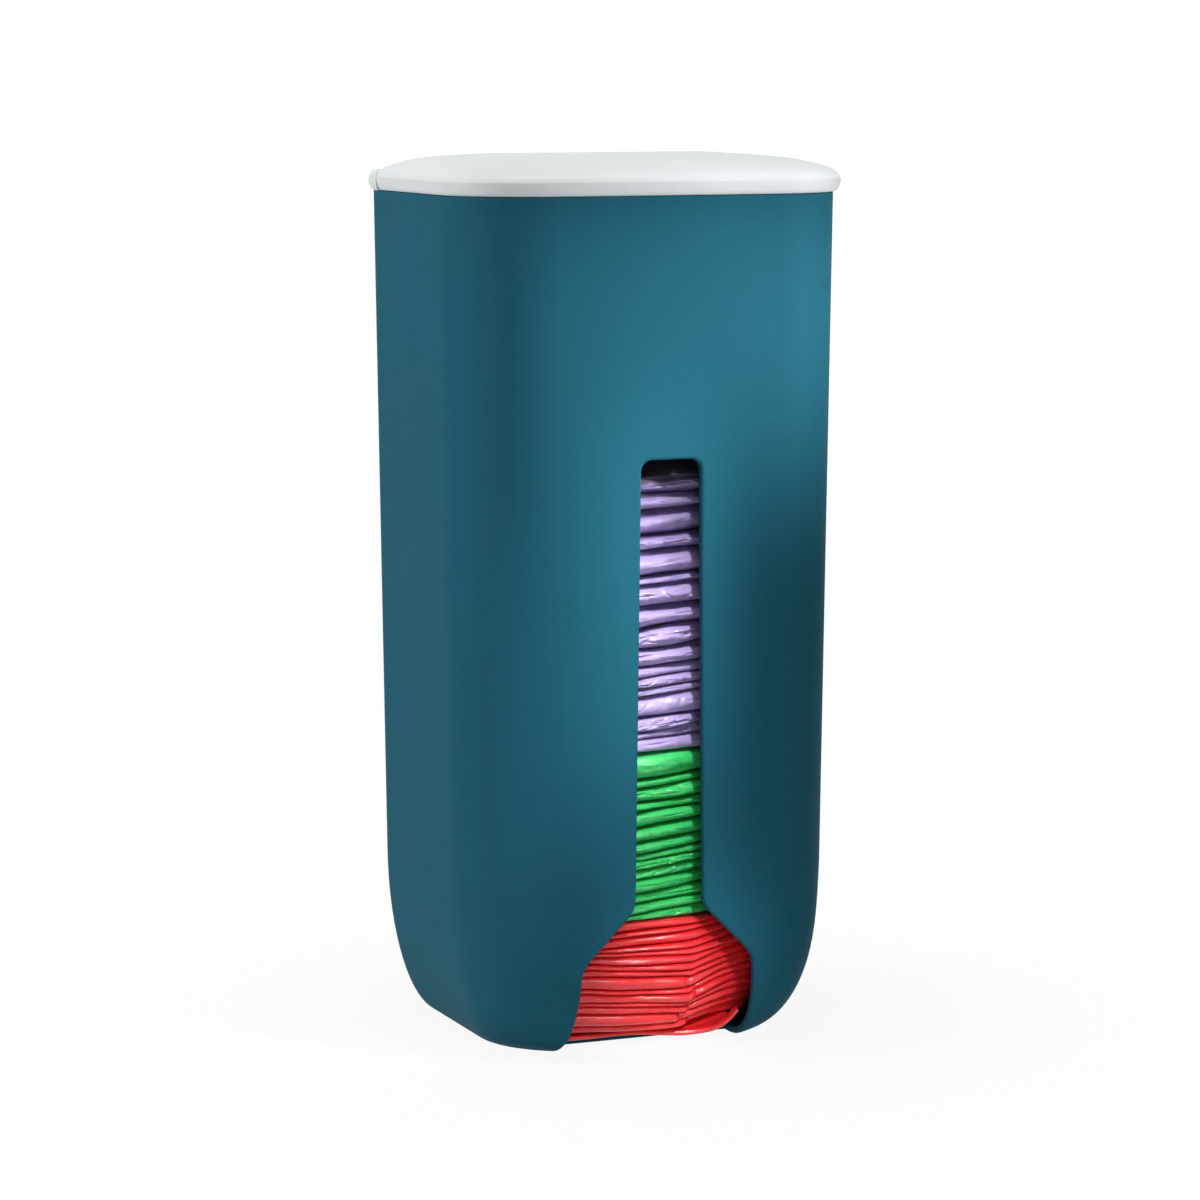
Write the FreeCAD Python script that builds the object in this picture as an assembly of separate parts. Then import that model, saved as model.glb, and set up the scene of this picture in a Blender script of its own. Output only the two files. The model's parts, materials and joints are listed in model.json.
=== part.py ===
import FreeCAD, Part
import math
import os

# Bag dispenser box: a moulded body with a finger slot and a mouth, a domed lid on a rear hinge
# and folded bags inside.
# Millimetres. X points right, the front faces -Y, the flat back is at +Y and Z points up.
# The origin is on the floor plane, in the middle of the area that the object covers.

# Body
body_width = 109.0
body_depth = 80.0
body_height = 225.0
wall = 2.0
floor_thickness = 2.0
side_lean_deg = 0.8
front_lean_deg = 0.2
front_corner_radius = 24.0
rear_corner_radius = 6.0
front_bow = 3.0
base_curve_height = 46.0
base_curve_inset = 15.0
front_curve_height = 26.0
front_curve_inset = 16.0
back_shave = 0.05

# Finger slot and mouth, as seen from the front
slot_drop = 67.5
slot_top_width = 16.8
slot_low_width = 19.2
slot_corner_radius = 3.0
mouth_side = 30.0
mouth_splay = 1.6
mouth_shoulder = 42.5
mouth_inner_radius = 6.0
mouth_outer_radius = 9.0
mouth_depth = 24.0
edge_round = 0.8

# Keyholes in the back that hang the body on two screws
keyhole_spacing = 60.0
keyhole_drop = 35.0
keyhole_head_radius = 4.5
keyhole_shank_radius = 2.3
keyhole_travel = 9.0

# Lid
lid_overhang = 2.0
lid_edge_height = 3.5
lid_edge_tuck = 1.8
dome_rise = 6.3
dome_run = 30.0
lid_wall = 2.0
lid_rear_round = 3.0
rim_gap = 0.2
skirt_depth = 4.0
skirt_wall = 1.6
skirt_clearance = 1.0

# Hinge strip, pin and knuckles
strip_height = 5.5
strip_depth = 12.5
strip_tuck = 1.6
tongue_width = 84.0
tongue_depth = 6.0
tongue_wall = 1.6
tongue_clearance = 0.2
lid_rear_gap = 0.35
pin_radius = 1.25
pin_length = 88.0
pin_clearance = 0.05
pin_chamfer = 0.3
knuckle_length = 16.0
knuckle_spacing = 50.0
knuckle_side_gap = 0.3
knuckle_relief = 0.35
knuckle_skin = 0.15

# Folded bags. Each pack lies turned in the box, with a corner of its front towards the slot or mouth.
# The layers rise to the right: evenly in the upper packs, only right of the corner near the floor.
red_bag_count = 16
red_bag_pitch = 2.08
red_corner_x = 7.0
red_left_turn_deg = 7.0
red_right_turn_deg = 10.0
green_bag_count = 14
green_bag_pitch = 3.19
purple_bag_count = 17
purple_bag_pitch = 4.19
upper_corner_x = -9.0
upper_left_turn_deg = 4.0
upper_right_turn_deg = 8.0
floor_right_lean_deg = 18.0
red_top_left_lean_deg = 6.5
red_top_right_lean_deg = 8.0
green_top_lean_deg = 7.5
stack_top_lean_deg = 2.0
lean_left_reach = 21.0
lean_right_reach = 23.0
bag_gap = 0.2
bag_clearance = 4.0
bag_front_clearance = 2.0
pull_bag_side_clearance = 1.5
pull_bag_overhang = 3.0
pull_bag_rear_clearance = 7.0
pull_bag_curl_deg = 12.0

# Values that follow from the sizes above
back_y = (body_depth + lid_overhang) / 2.0
front_y = back_y - body_depth
slot_top = body_height - slot_drop
mouth_width = body_width - 2.0 * mouth_side
keyhole_height = body_height - keyhole_drop
side_lean = math.tan(math.radians(side_lean_deg))
front_lean = math.tan(math.radians(front_lean_deg))
front_arc_radius = (body_width ** 2 / 4.0 + front_bow ** 2) / (2.0 * front_bow)
hinge_radius = strip_height / 2.0
hinge_y = back_y - strip_depth + hinge_radius
hinge_z = body_height + hinge_radius
lid_rear_y = back_y - strip_depth - lid_rear_gap
lid_z = body_height + rim_gap
lid_height = lid_edge_height + dome_rise
stack_bottom = floor_thickness + bag_gap
loose_bottom = stack_bottom + red_bag_pitch
red_top = stack_bottom + red_bag_count * red_bag_pitch
green_top = red_top + green_bag_count * green_bag_pitch
stack_top = green_top + purple_bag_count * purple_bag_pitch
over_cut = 5.0
curve_steps = 6


def vec(x, y, z):
    return FreeCAD.Vector(x, y, z)


def outline(half_width, front, back, front_radius, rear_radius, z):
    """Closed plan outline at height z: bowed front, straight sides, rounded corners, flat back."""
    bow_centre_y = front + front_arc_radius
    corner_x = half_width - front_radius
    reach = front_arc_radius - front_radius
    corner_y = bow_centre_y - math.sqrt(reach ** 2 - corner_x ** 2)
    swing = math.atan2(corner_x, bow_centre_y - corner_y)
    arc_x = front_arc_radius * math.sin(swing)
    arc_y = bow_centre_y - front_arc_radius * math.cos(swing)
    half_turn = (math.pi / 2.0 + swing) / 2.0
    mid_x = corner_x + front_radius * math.sin(half_turn)
    mid_y = corner_y - front_radius * math.cos(half_turn)
    diagonal = rear_radius * (1.0 - math.sqrt(0.5))
    rear_x = half_width - rear_radius
    rear_y = back - rear_radius
    edges = [
        Part.Arc(vec(-arc_x, arc_y, z), vec(0, front, z), vec(arc_x, arc_y, z)).toShape(),
        Part.Arc(vec(arc_x, arc_y, z), vec(mid_x, mid_y, z), vec(half_width, corner_y, z)).toShape(),
        Part.makeLine(vec(half_width, corner_y, z), vec(half_width, rear_y, z)),
        Part.Arc(
            vec(half_width, rear_y, z),
            vec(half_width - diagonal, back - diagonal, z),
            vec(rear_x, back, z),
        ).toShape(),
        Part.makeLine(vec(rear_x, back, z), vec(-rear_x, back, z)),
        Part.Arc(
            vec(-rear_x, back, z),
            vec(diagonal - half_width, back - diagonal, z),
            vec(-half_width, rear_y, z),
        ).toShape(),
        Part.makeLine(vec(-half_width, rear_y, z), vec(-half_width, corner_y, z)),
        Part.Arc(vec(-half_width, corner_y, z), vec(-mid_x, mid_y, z), vec(-arc_x, arc_y, z)).toShape(),
    ]
    return Part.Wire(edges)


def base_curve(z, skin, height, inset):
    """How far a wall has curved in at height z, for its outer face (skin 0) or one set in by skin."""
    bottom = floor_thickness if skin > 0 else 0.0
    if z >= height:
        return 0.0
    rise = (height - z) / (height - bottom)
    return (inset - skin) * (1.0 - math.sqrt(max(0.0, 1.0 - rise ** 2)))


def front_at(z, skin):
    """Y of the body's foremost line at height z, set in by skin."""
    curve = base_curve(z, skin, front_curve_height, front_curve_inset)
    return front_y + front_lean * (body_height - z) + curve + skin


def body_section(z, skin, margin=0.0, front_margin=0.0):
    """Plan outline of the body's wall at height z, set in by skin, and for loose contents by margins."""
    inset = skin + margin
    curve = base_curve(z, skin, base_curve_height, base_curve_inset)
    return outline(
        body_width / 2.0 - side_lean * (body_height - z) - curve - inset,
        front_at(z, skin) + front_margin,
        back_y + back_shave - inset,
        front_corner_radius - inset,
        max(rear_corner_radius - inset, wall / 2.0),
        z,
    )


def half_space_in_front(y):
    """Large block in front of the plane at y."""
    size = 4.0 * (body_width + body_depth)
    return Part.makeBox(size, size, size, vec(-size / 2.0, y - size, body_height - size / 2.0))


def body_form(skin, top):
    """Solid inside the body's wall faces: leaning walls above, drawn in along ellipses to the floor.
    The back is shaved to a true plane, which hangs flat on a wall."""
    bottom = floor_thickness if skin > 0 else 0.0
    upper = Part.makeLoft([body_section(base_curve_height, skin), body_section(top, skin)], True, True)
    levels = []
    for step in range(curve_steps + 1):
        turn = math.pi / 2.0 * step / curve_steps
        levels.append(base_curve_height - (base_curve_height - bottom) * math.sin(turn))
    lower = Part.makeLoft([body_section(z, skin) for z in reversed(levels)], True, False)
    return upper.fuse(lower).common(half_space_in_front(back_y - skin))


def slot_and_mouth():
    """Front cut: a slot that widens a little on its way down, a flare and a mouth open at the floor."""
    top_half = slot_top_width / 2.0
    low_half = slot_low_width / 2.0
    mouth_half = mouth_width / 2.0
    y = front_y - over_cut
    step = math.sqrt(0.5)
    flare_x = low_half + mouth_inner_radius * (1.0 - step)
    flare_z = mouth_shoulder - mouth_inner_radius * step
    round_x = mouth_half - mouth_outer_radius * (1.0 - step)
    round_z = flare_z - (round_x - flare_x)
    side_z = round_z - mouth_outer_radius * step
    eighth = math.radians(22.5)
    corner = slot_corner_radius
    right = [
        Part.Arc(
            vec(top_half - corner, y, slot_top),
            vec(top_half - corner * (1.0 - step), y, slot_top - corner * (1.0 - step)),
            vec(top_half, y, slot_top - corner),
        ).toShape(),
        Part.makeLine(vec(top_half, y, slot_top - corner), vec(low_half, y, mouth_shoulder)),
        Part.Arc(
            vec(low_half, y, mouth_shoulder),
            vec(
                low_half + mouth_inner_radius * (1.0 - math.cos(eighth)),
                y,
                mouth_shoulder - mouth_inner_radius * math.sin(eighth),
            ),
            vec(flare_x, y, flare_z),
        ).toShape(),
        Part.makeLine(vec(flare_x, y, flare_z), vec(round_x, y, round_z)),
        Part.Arc(
            vec(round_x, y, round_z),
            vec(
                mouth_half - mouth_outer_radius * (1.0 - math.cos(eighth)),
                y,
                side_z + mouth_outer_radius * math.sin(eighth),
            ),
            vec(mouth_half, y, side_z),
        ).toShape(),
        Part.makeLine(vec(mouth_half, y, side_z), vec(mouth_half + mouth_splay, y, -over_cut)),
    ]
    left = [edge.mirror(vec(0, 0, 0), vec(1, 0, 0)) for edge in right]
    top = Part.makeLine(vec(corner - top_half, y, slot_top), vec(top_half - corner, y, slot_top))
    foot = mouth_half + mouth_splay
    bottom = Part.makeLine(vec(-foot, y, -over_cut), vec(foot, y, -over_cut))
    wire = Part.Wire(Part.__sortEdges__(right + left + [top, bottom]))
    return Part.Face(wire).extrude(vec(0, mouth_depth + over_cut, 0))


def keyhole(x):
    """Screw-head hole with a narrower slot running up from it, through the back wall."""
    start = vec(x, back_y - wall - over_cut, keyhole_height)
    depth = wall + 2.0 * over_cut
    along = vec(0, 1, 0)
    head = Part.makeCylinder(keyhole_head_radius, depth, start, along)
    shank = Part.makeCylinder(keyhole_shank_radius, depth, start + vec(0, 0, keyhole_travel), along)
    neck = Part.makeBox(
        2.0 * keyhole_shank_radius, depth, keyhole_travel, start - vec(keyhole_shank_radius, 0, 0)
    )
    return head.fuse([shank, neck])


def shared_edges(solid, first, second):
    """Edges of solid that lie on the faces of both other solids, as those along a cut in a skin do."""
    near = 0.001
    picked = []
    for edge in solid.Edges:
        start, end = edge.ParameterRange
        probes = [Part.Vertex(edge.valueAt(start + (end - start) * share)) for share in (0.0, 0.5, 1.0)]
        if all(skin.distToShape(probe)[0] < near for probe in probes for skin in (first, second)):
            picked.append(edge)
    return picked


def body_shell():
    outside = body_form(0.0, body_height)
    front_cut = slot_and_mouth()
    shell = outside.cut(body_form(wall, body_height + over_cut)).cut(front_cut)
    lips = shared_edges(shell, Part.makeCompound(outside.Faces), Part.makeCompound(front_cut.Faces))
    shell = shell.makeFillet(edge_round, lips)
    return shell.cut([keyhole(-keyhole_spacing / 2.0), keyhole(keyhole_spacing / 2.0)])


def lid_section(inset, z):
    """Plan outline of lid and hinge strip together, set in from their widest line."""
    front = front_y - lid_overhang + inset
    back = back_y - inset
    share = (back - front) / (body_depth + lid_overhang)
    return outline(
        body_width / 2.0 + lid_overhang - inset,
        front,
        back,
        (front_corner_radius + lid_overhang) * share,
        (rear_corner_radius + lid_overhang) * share,
        z,
    )


def quarter(run, rise):
    """Insets and heights along a quarter ellipse, upright at inset 0 and level at inset run."""
    points = []
    for step in range(curve_steps + 1):
        turn = math.pi / 2.0 * step / curve_steps
        points.append((run * (1.0 - math.cos(turn)), rise * math.sin(turn)))
    return points


def rolled_edge(z, tuck, drop, run, rise):
    """Solid over the plan of lid and strip: widest at z, tucked in below and rolled over above."""
    under = [lid_section(inset, z - fall) for inset, fall in reversed(quarter(tuck, drop))]
    over = [lid_section(inset, z + up) for inset, up in quarter(run, rise)]
    return Part.makeLoft(under, True, False).fuse(Part.makeLoft(over, True, False))


def lid_form():
    """Outer form of the lid: a rounded edge that rolls over into a shallow dome."""
    return rolled_edge(lid_z + lid_edge_height, lid_edge_tuck, lid_edge_height, dome_run, dome_rise)


def lid_hollow():
    """Space inside the skirt and under the dome, which leaves the lid about one wall thick."""
    inset = lid_overhang + wall + skirt_clearance + skirt_wall
    low = lid_z - skirt_depth - over_cut
    spring = lid_z + lid_edge_height - rim_gap
    rise = lid_height - lid_wall - (spring - lid_z)
    straight = Part.Face(lid_section(inset, low)).extrude(vec(0, 0, spring - low))
    arch = [lid_section(inset + run, spring + up) for run, up in quarter(dome_run - inset, rise)]
    hollow = straight.fuse(Part.makeLoft(arch, True, False))
    return hollow.common(half_space_in_front(lid_rear_y - lid_wall))


def lid_rear_corner():
    """Waste along the lid's top rear edge, outside a rounding of lid_rear_round."""
    length = body_width + 2.0 * (lid_overhang + over_cut)
    dome_share = (back_y - lid_rear_y) / dome_run
    top = lid_z + lid_edge_height + dome_rise * math.sqrt(1.0 - (1.0 - dome_share) ** 2)
    corner = vec(-length / 2.0, lid_rear_y - lid_rear_round, top - lid_rear_round)
    block = Part.makeBox(length, lid_rear_round + over_cut, lid_rear_round + over_cut, corner)
    return block.cut(Part.makeCylinder(lid_rear_round, length, corner, vec(1, 0, 0)))


def knuckle(x):
    """Barrel round the pin with a web to the lid's rear face."""
    radius = hinge_radius - knuckle_skin
    start = vec(x - knuckle_length / 2.0, hinge_y, hinge_z)
    barrel = Part.makeCylinder(radius, knuckle_length, start, vec(1, 0, 0))
    web_depth = hinge_y - lid_rear_y + lid_wall / 2.0
    web = Part.makeBox(knuckle_length, web_depth, 2.0 * radius, start - vec(0, web_depth, radius))
    return barrel.fuse(web)


def pin_bore(start_x, length):
    start = vec(start_x, hinge_y, hinge_z)
    return Part.makeCylinder(pin_radius + pin_clearance, length, start, vec(1, 0, 0))


def knuckle_places():
    return (-knuckle_spacing / 2.0, knuckle_spacing / 2.0)


def lid():
    skirt_plan = Part.Face(lid_section(lid_overhang + wall + skirt_clearance, lid_z - skirt_depth))
    skirt = skirt_plan.extrude(vec(0, 0, skirt_depth + lid_edge_height))
    solid = lid_form().fuse(skirt).common(half_space_in_front(lid_rear_y))
    solid = solid.cut([lid_hollow(), lid_rear_corner()])
    solid = solid.fuse([knuckle(x) for x in knuckle_places()])
    return solid.cut(pin_bore(-body_width, 2.0 * body_width))


def hinge_strip():
    """Pale strip on the rear of the rim, rounded all round, with pockets for the knuckles and a tongue."""
    form = rolled_edge(hinge_z, strip_tuck, hinge_radius, strip_tuck, hinge_radius)
    length = body_width + 2.0 * (lid_overhang + over_cut)
    nose = Part.makeCylinder(hinge_radius, length, vec(-length / 2.0, hinge_y, hinge_z), vec(1, 0, 0))
    rear = Part.makeBox(
        length, strip_depth + over_cut, strip_height + 2.0 * over_cut,
        vec(-length / 2.0, hinge_y, body_height - over_cut),
    )
    strip = form.common(rear.fuse(nose))
    tongue = Part.makeBox(
        tongue_width, tongue_wall, tongue_depth + hinge_radius,
        vec(-tongue_width / 2.0, back_y - wall - tongue_clearance - tongue_wall, body_height - tongue_depth),
    )
    pocket_length = knuckle_length + 2.0 * knuckle_side_gap
    pocket_depth = 2.0 * hinge_radius + knuckle_relief + over_cut
    pockets = []
    for x in knuckle_places():
        corner = vec(x - pocket_length / 2.0, hinge_y - hinge_radius - over_cut, body_height - over_cut)
        pockets.append(Part.makeBox(pocket_length, pocket_depth, strip_height + 2.0 * over_cut, corner))
    return strip.fuse(tongue).cut(pockets + [pin_bore(-pin_length / 2.0, body_width + pin_length)])


def hinge_pin():
    pin = Part.makeCylinder(pin_radius, pin_length, vec(-pin_length / 2.0, hinge_y, hinge_z), vec(1, 0, 0))
    rims = [edge for edge in pin.Edges if edge.Closed and isinstance(edge.Curve, Part.Circle)]
    return pin.makeChamfer(pin_chamfer, rims)


def turned_plan(corner_x, corner_y, left_turn_deg, right_turn_deg, z):
    """Plan of a turned pack: a corner towards the front, from which two sides turn back."""
    reach = body_width
    left_y = corner_y + reach * math.tan(math.radians(left_turn_deg))
    right_y = corner_y + reach * math.tan(math.radians(right_turn_deg))
    rear_y = max(left_y, right_y, back_y) + over_cut
    points = [
        vec(corner_x, corner_y, z),
        vec(corner_x + reach, right_y, z),
        vec(corner_x + reach, rear_y, z),
        vec(corner_x - reach, rear_y, z),
        vec(corner_x - reach, left_y, z),
    ]
    return Part.Face(Part.makePolygon(points, True))


def lean_between(z, low, high, low_deg, high_deg):
    """Slope of a layer at height z, where the lean changes evenly from one level to another."""
    share = min(max((z - low) / (high - low), 0.0), 1.0)
    return math.tan(math.radians(low_deg + (high_deg - low_deg) * share))


def layer_slopes(z):
    """Slopes of a layer at height z, left and right of the red packs' corner."""
    if z < red_top:
        return (
            lean_between(z, loose_bottom, red_top, 0.0, red_top_left_lean_deg),
            lean_between(z, loose_bottom, red_top, floor_right_lean_deg, red_top_right_lean_deg),
        )
    if z < green_top:
        return (
            lean_between(z, red_top, green_top, red_top_left_lean_deg, green_top_lean_deg),
            lean_between(z, red_top, green_top, red_top_right_lean_deg, green_top_lean_deg),
        )
    slope = lean_between(z, green_top, stack_top, green_top_lean_deg, stack_top_lean_deg)
    return (slope, slope)


def layer_line(z, slopes):
    """Points from left to right along a layer that has height z at the corner and levels out at both ends."""
    left_x = red_corner_x - lean_left_reach
    right_x = red_corner_x + lean_right_reach
    left_z = z - slopes[0] * lean_left_reach
    right_z = z + slopes[1] * lean_right_reach
    y = front_y - over_cut
    return [
        vec(-body_width, y, left_z),
        vec(left_x, y, left_z),
        vec(red_corner_x, y, z),
        vec(right_x, y, right_z),
        vec(body_width, y, right_z),
    ]


def layer_block(under, over):
    """Block between two layer lines, from before the front to behind the back."""
    face = Part.Face(Part.makePolygon(under + over[::-1], True))
    return face.extrude(vec(0, body_depth + 3.0 * over_cut, 0))


def folded_bag(bottom, thickness, corner_x, left_turn_deg, right_turn_deg):
    """A bag folded flat inside the box, with its front turned like the rest of its pack."""
    under = layer_line(bottom, layer_slopes(bottom))
    over = layer_line(bottom + thickness, layer_slopes(bottom + thickness))
    low = under[0].z
    up = vec(0, 0, over[-1].z - low)
    corner_y = front_at(bottom, wall) + bag_front_clearance
    turned = turned_plan(corner_x, corner_y, left_turn_deg, right_turn_deg, low).extrude(up)
    inside = Part.Face(body_section(low, wall, bag_clearance, bag_front_clearance)).extrude(up)
    return layer_block(under, over).common(inside.common(turned))


def pull_bag(bottom, thickness):
    """The bag that is pulled next: gathered to pass the mouth, curled up at the right, its front end
    just past the floor."""
    width = mouth_width - 2.0 * pull_bag_side_clearance
    front = front_y + mouth_depth - pull_bag_overhang
    length = back_y - wall - pull_bag_rear_clearance - front
    slopes = (0.0, math.tan(math.radians(pull_bag_curl_deg)))
    over = layer_line(bottom + thickness, slopes)
    plan = Part.makeBox(width, length, over[-1].z - bottom, vec(-width / 2.0, front, bottom))
    return layer_block(layer_line(bottom, slopes), over).common(plan)


def bags():
    red_turn = (red_corner_x, red_left_turn_deg, red_right_turn_deg)
    upper_turn = (upper_corner_x, upper_left_turn_deg, upper_right_turn_deg)
    packs = (
        ("red", red_bag_count, red_bag_pitch, red_turn),
        ("green", green_bag_count, green_bag_pitch, upper_turn),
        ("purple", purple_bag_count, purple_bag_pitch, upper_turn),
    )
    bottom = stack_bottom
    named = {"red_bag_01": pull_bag(bottom, red_bag_pitch - bag_gap)}
    for colour, count, pitch, turn in packs:
        for number in range(1, count + 1):
            name = f"{colour}_bag_{number:02d}"
            if name not in named:
                named[name] = folded_bag(bottom, pitch - bag_gap, *turn)
            bottom += pitch
    return named


def main():
    nodes = {
        "body_shell": body_shell(),
        "hinge_strip": hinge_strip(),
        "hinge_pin": hinge_pin(),
        "lid": lid(),
    }
    nodes.update(bags())
    os.makedirs("parts", exist_ok=True)
    for name, shape in nodes.items():
        shape.exportStep(f"parts/{name}.step")


main()
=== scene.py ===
import json
import math

import bpy
import numpy as np
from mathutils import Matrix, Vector


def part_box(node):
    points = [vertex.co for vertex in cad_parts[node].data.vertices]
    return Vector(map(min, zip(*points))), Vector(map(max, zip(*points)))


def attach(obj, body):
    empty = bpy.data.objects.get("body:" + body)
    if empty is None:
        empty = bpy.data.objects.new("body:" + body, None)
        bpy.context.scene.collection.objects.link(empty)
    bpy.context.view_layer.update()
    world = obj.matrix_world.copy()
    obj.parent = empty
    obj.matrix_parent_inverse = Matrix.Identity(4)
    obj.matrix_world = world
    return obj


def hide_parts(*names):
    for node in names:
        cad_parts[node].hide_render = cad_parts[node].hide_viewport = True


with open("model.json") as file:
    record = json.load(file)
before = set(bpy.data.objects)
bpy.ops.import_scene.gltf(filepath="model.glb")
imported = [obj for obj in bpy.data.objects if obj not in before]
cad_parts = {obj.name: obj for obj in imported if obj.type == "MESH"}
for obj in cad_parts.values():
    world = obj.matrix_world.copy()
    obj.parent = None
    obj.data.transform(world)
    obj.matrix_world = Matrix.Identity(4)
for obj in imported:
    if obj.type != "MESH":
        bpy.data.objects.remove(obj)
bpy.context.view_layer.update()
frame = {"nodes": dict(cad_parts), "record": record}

bl_info = {
    "name": "Bag Dispenser Box",
    "version": (1, 0, 0),
    "blender": (4, 5, 0),
    "location": "View3D > Sidebar > Bag Box",
    "description": "Dresses a bag dispenser box with its plastics, its folded film bags and a studio",
    "category": "Object",
}

MM = 0.001
WHITE = (1.0, 1.0, 1.0)
BAG_NODES = sorted((name for name in frame["nodes"] if "_bag_" in name), key=lambda name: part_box(name)[0].z)
PACK_SEEDS = {"red": 92662, "green": 88498, "purple": 106856}  # chosen for uneven packs like the photo's
BODY_OF_NODE = {
    node: body for body, nodes in frame["record"]["behaviour"]["bodies"].items() for node in nodes
}
SHADOW_FLOOR = 0.92  # share of plain white in the floor close to the object
SENSOR = 36.0
DIGITS = 6  # of a length in metres, so that equal places of CAD points compare as equal
TINY = 1e-6
EDGE = 0.5 - 1e-4  # a point of the blank beyond this lies on an outer wall
ROUND_SAMPLES = 9
SMOOTH_ANGLE = math.radians(60.0)

# Chance: each use counts on from a seed of its own by the bag's number.
FLAT_SEED = 31
SLIP_SEED = 100
KINK_SEED = 200
NOSE_SEED = 300
DRIFT_SEED = 400
CREASE_SEED = 500
CREASE_PLACE_SEED = 600
GAPE_SEED = 700
ROUGH_SEED = 800
CRUMPLE_SEED = 900

# Waviness: three waves of falling weight, and the wave lengths of each use.
WAVE_WEIGHTS = (0.45, 0.30, 0.25)
WAVE_PACES = (0.7, 1.6)
FLAT_WAVES = (21.0 * MM, 30.0 * MM)
DRIFT_WAVES = (110.0 * MM, 90.0 * MM)
SLIP_WAVE = 48.0 * MM
NOSE_WAVE = 40.0 * MM
CREASE_WAVE = 28.0 * MM
CREASE_PLACE_WAVE = 34.0 * MM
GAPE_WAVE = 37.0 * MM
SHORT_CRUMPLE = (13.0 * MM, 1.1)
LONG_CRUMPLE = (29.0 * MM, 0.8)

# Layers: how the stack's levels bend, kink, sag and lean.
BEND_ROUND = 1.5 * MM
KINK_SCATTER = 2.5 * MM
KINK_FADE = (0.15, 0.65)
SHARP_KINK = 1.5 * MM
SOFT_KINK = 11.0 * MM
SAG_WIDTH = 14.0 * MM
SAG_END = 1.45
PACK_FALL_REACH = 20.0 * MM
SEAM_FALL_REACH = 16.0 * MM
FAN_PEAK = 6.75  # brings share * (1 - share) ** 2 to 1 where it is most
FLAP_SOFT = 0.8 * MM

# Lowest bag: its drooping edge and the corner that curls up on its right.
DROOP_PLACE = 4.0 * MM
DROOP_SOFT = 6.0 * MM
DROOP_WIDTH = 5.0 * MM
CURL_START = 17.0 * MM
CURL_WIDTH = 7.5 * MM
CURL_FRONT = -22.0 * MM
CURL_DEPTH = 3.0 * MM
CORNER_PLACE = 18.0 * MM
CORNER_SOFT_FRONT = 3.0 * MM
CORNER_SOFT_SIDE = 2.0 * MM
LIP_LEFT = 0.45
LIP_SOFT = 8.0 * MM

# Blank: columns close together in the middle, rows close together at the front.
FINE_SHARE = 0.45
FINE_WIDTH = 20.0 * MM
COLUMN_POWER = 5
ROW_POWER = 1.8
FRONT_ROUND = 5.0 * MM
REAR_ROUND = 3.0 * MM

# Folds: the walls between a bag's faces.
LOOSE_POWER = 5
MOST_SWELL = 1.3
THIN_SLIP = 0.5
TUCK_SOFT = 0.5 * MM
TUCK_FADE = 8.0 * MM
SLANT = 0.7
NOSE_SWAY = 0.12
ROUND_POINT = 0.56
LOOSE_POINT = 0.72
RED_ROUGH = 0.3
LEAST_ROUGH = 0.6
MORE_ROUGH = 2.0
FURROW_SHARPNESS = 3.0
DENT_WIDTH = 0.9 * MM
RED_CREASE = 0.3
CREASE_MEAN = 0.1
CREASE_SWING = 0.9
CREASE_PLACE = 0.62
CREASE_SWAY = 0.14
CREASE_WIDTH = 0.06
REAR_GAP = 0.12
GAP_FADE = 12.0
GAP_SWAY = 0.7
PACKED_GAP = 0.4
LOOSE_GAP = 0.9


class PlasticSettings(bpy.types.PropertyGroup):
    """Colours and surface of the moulded plastics and the pin."""

    teal: bpy.props.FloatVectorProperty(
        name="Body colour", description="Colour of the moulded body", subtype="COLOR", size=3,
        min=0.0, max=1.0, default=(0.016, 0.120, 0.175),
    )
    pale: bpy.props.FloatVectorProperty(
        name="Lid colour", description="Colour of the lid and hinge strip", subtype="COLOR", size=3,
        min=0.0, max=1.0, default=(0.765, 0.805, 0.815),
    )
    steel: bpy.props.FloatVectorProperty(
        name="Pin colour", description="Colour of the hinge pin", subtype="COLOR", size=3,
        min=0.0, max=1.0, default=(0.55, 0.56, 0.58),
    )
    teal_roughness: bpy.props.FloatProperty(
        name="Body roughness", description="Roughness of the satin body", subtype="FACTOR",
        min=0.0, max=1.0, default=0.62,
    )
    pale_roughness: bpy.props.FloatProperty(
        name="Lid roughness", description="Roughness of the lid and hinge strip", subtype="FACTOR",
        min=0.0, max=1.0, default=0.45,
    )
    grain: bpy.props.FloatProperty(
        name="Grain", description="Size of the fine moulded grain", unit="LENGTH",
        min=0.0001, max=0.01, default=0.0007,
    )
    grain_depth: bpy.props.FloatProperty(
        name="Grain depth", description="Height of the fine moulded grain", unit="LENGTH",
        min=0.0, max=0.001, default=0.000012,
    )


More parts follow.
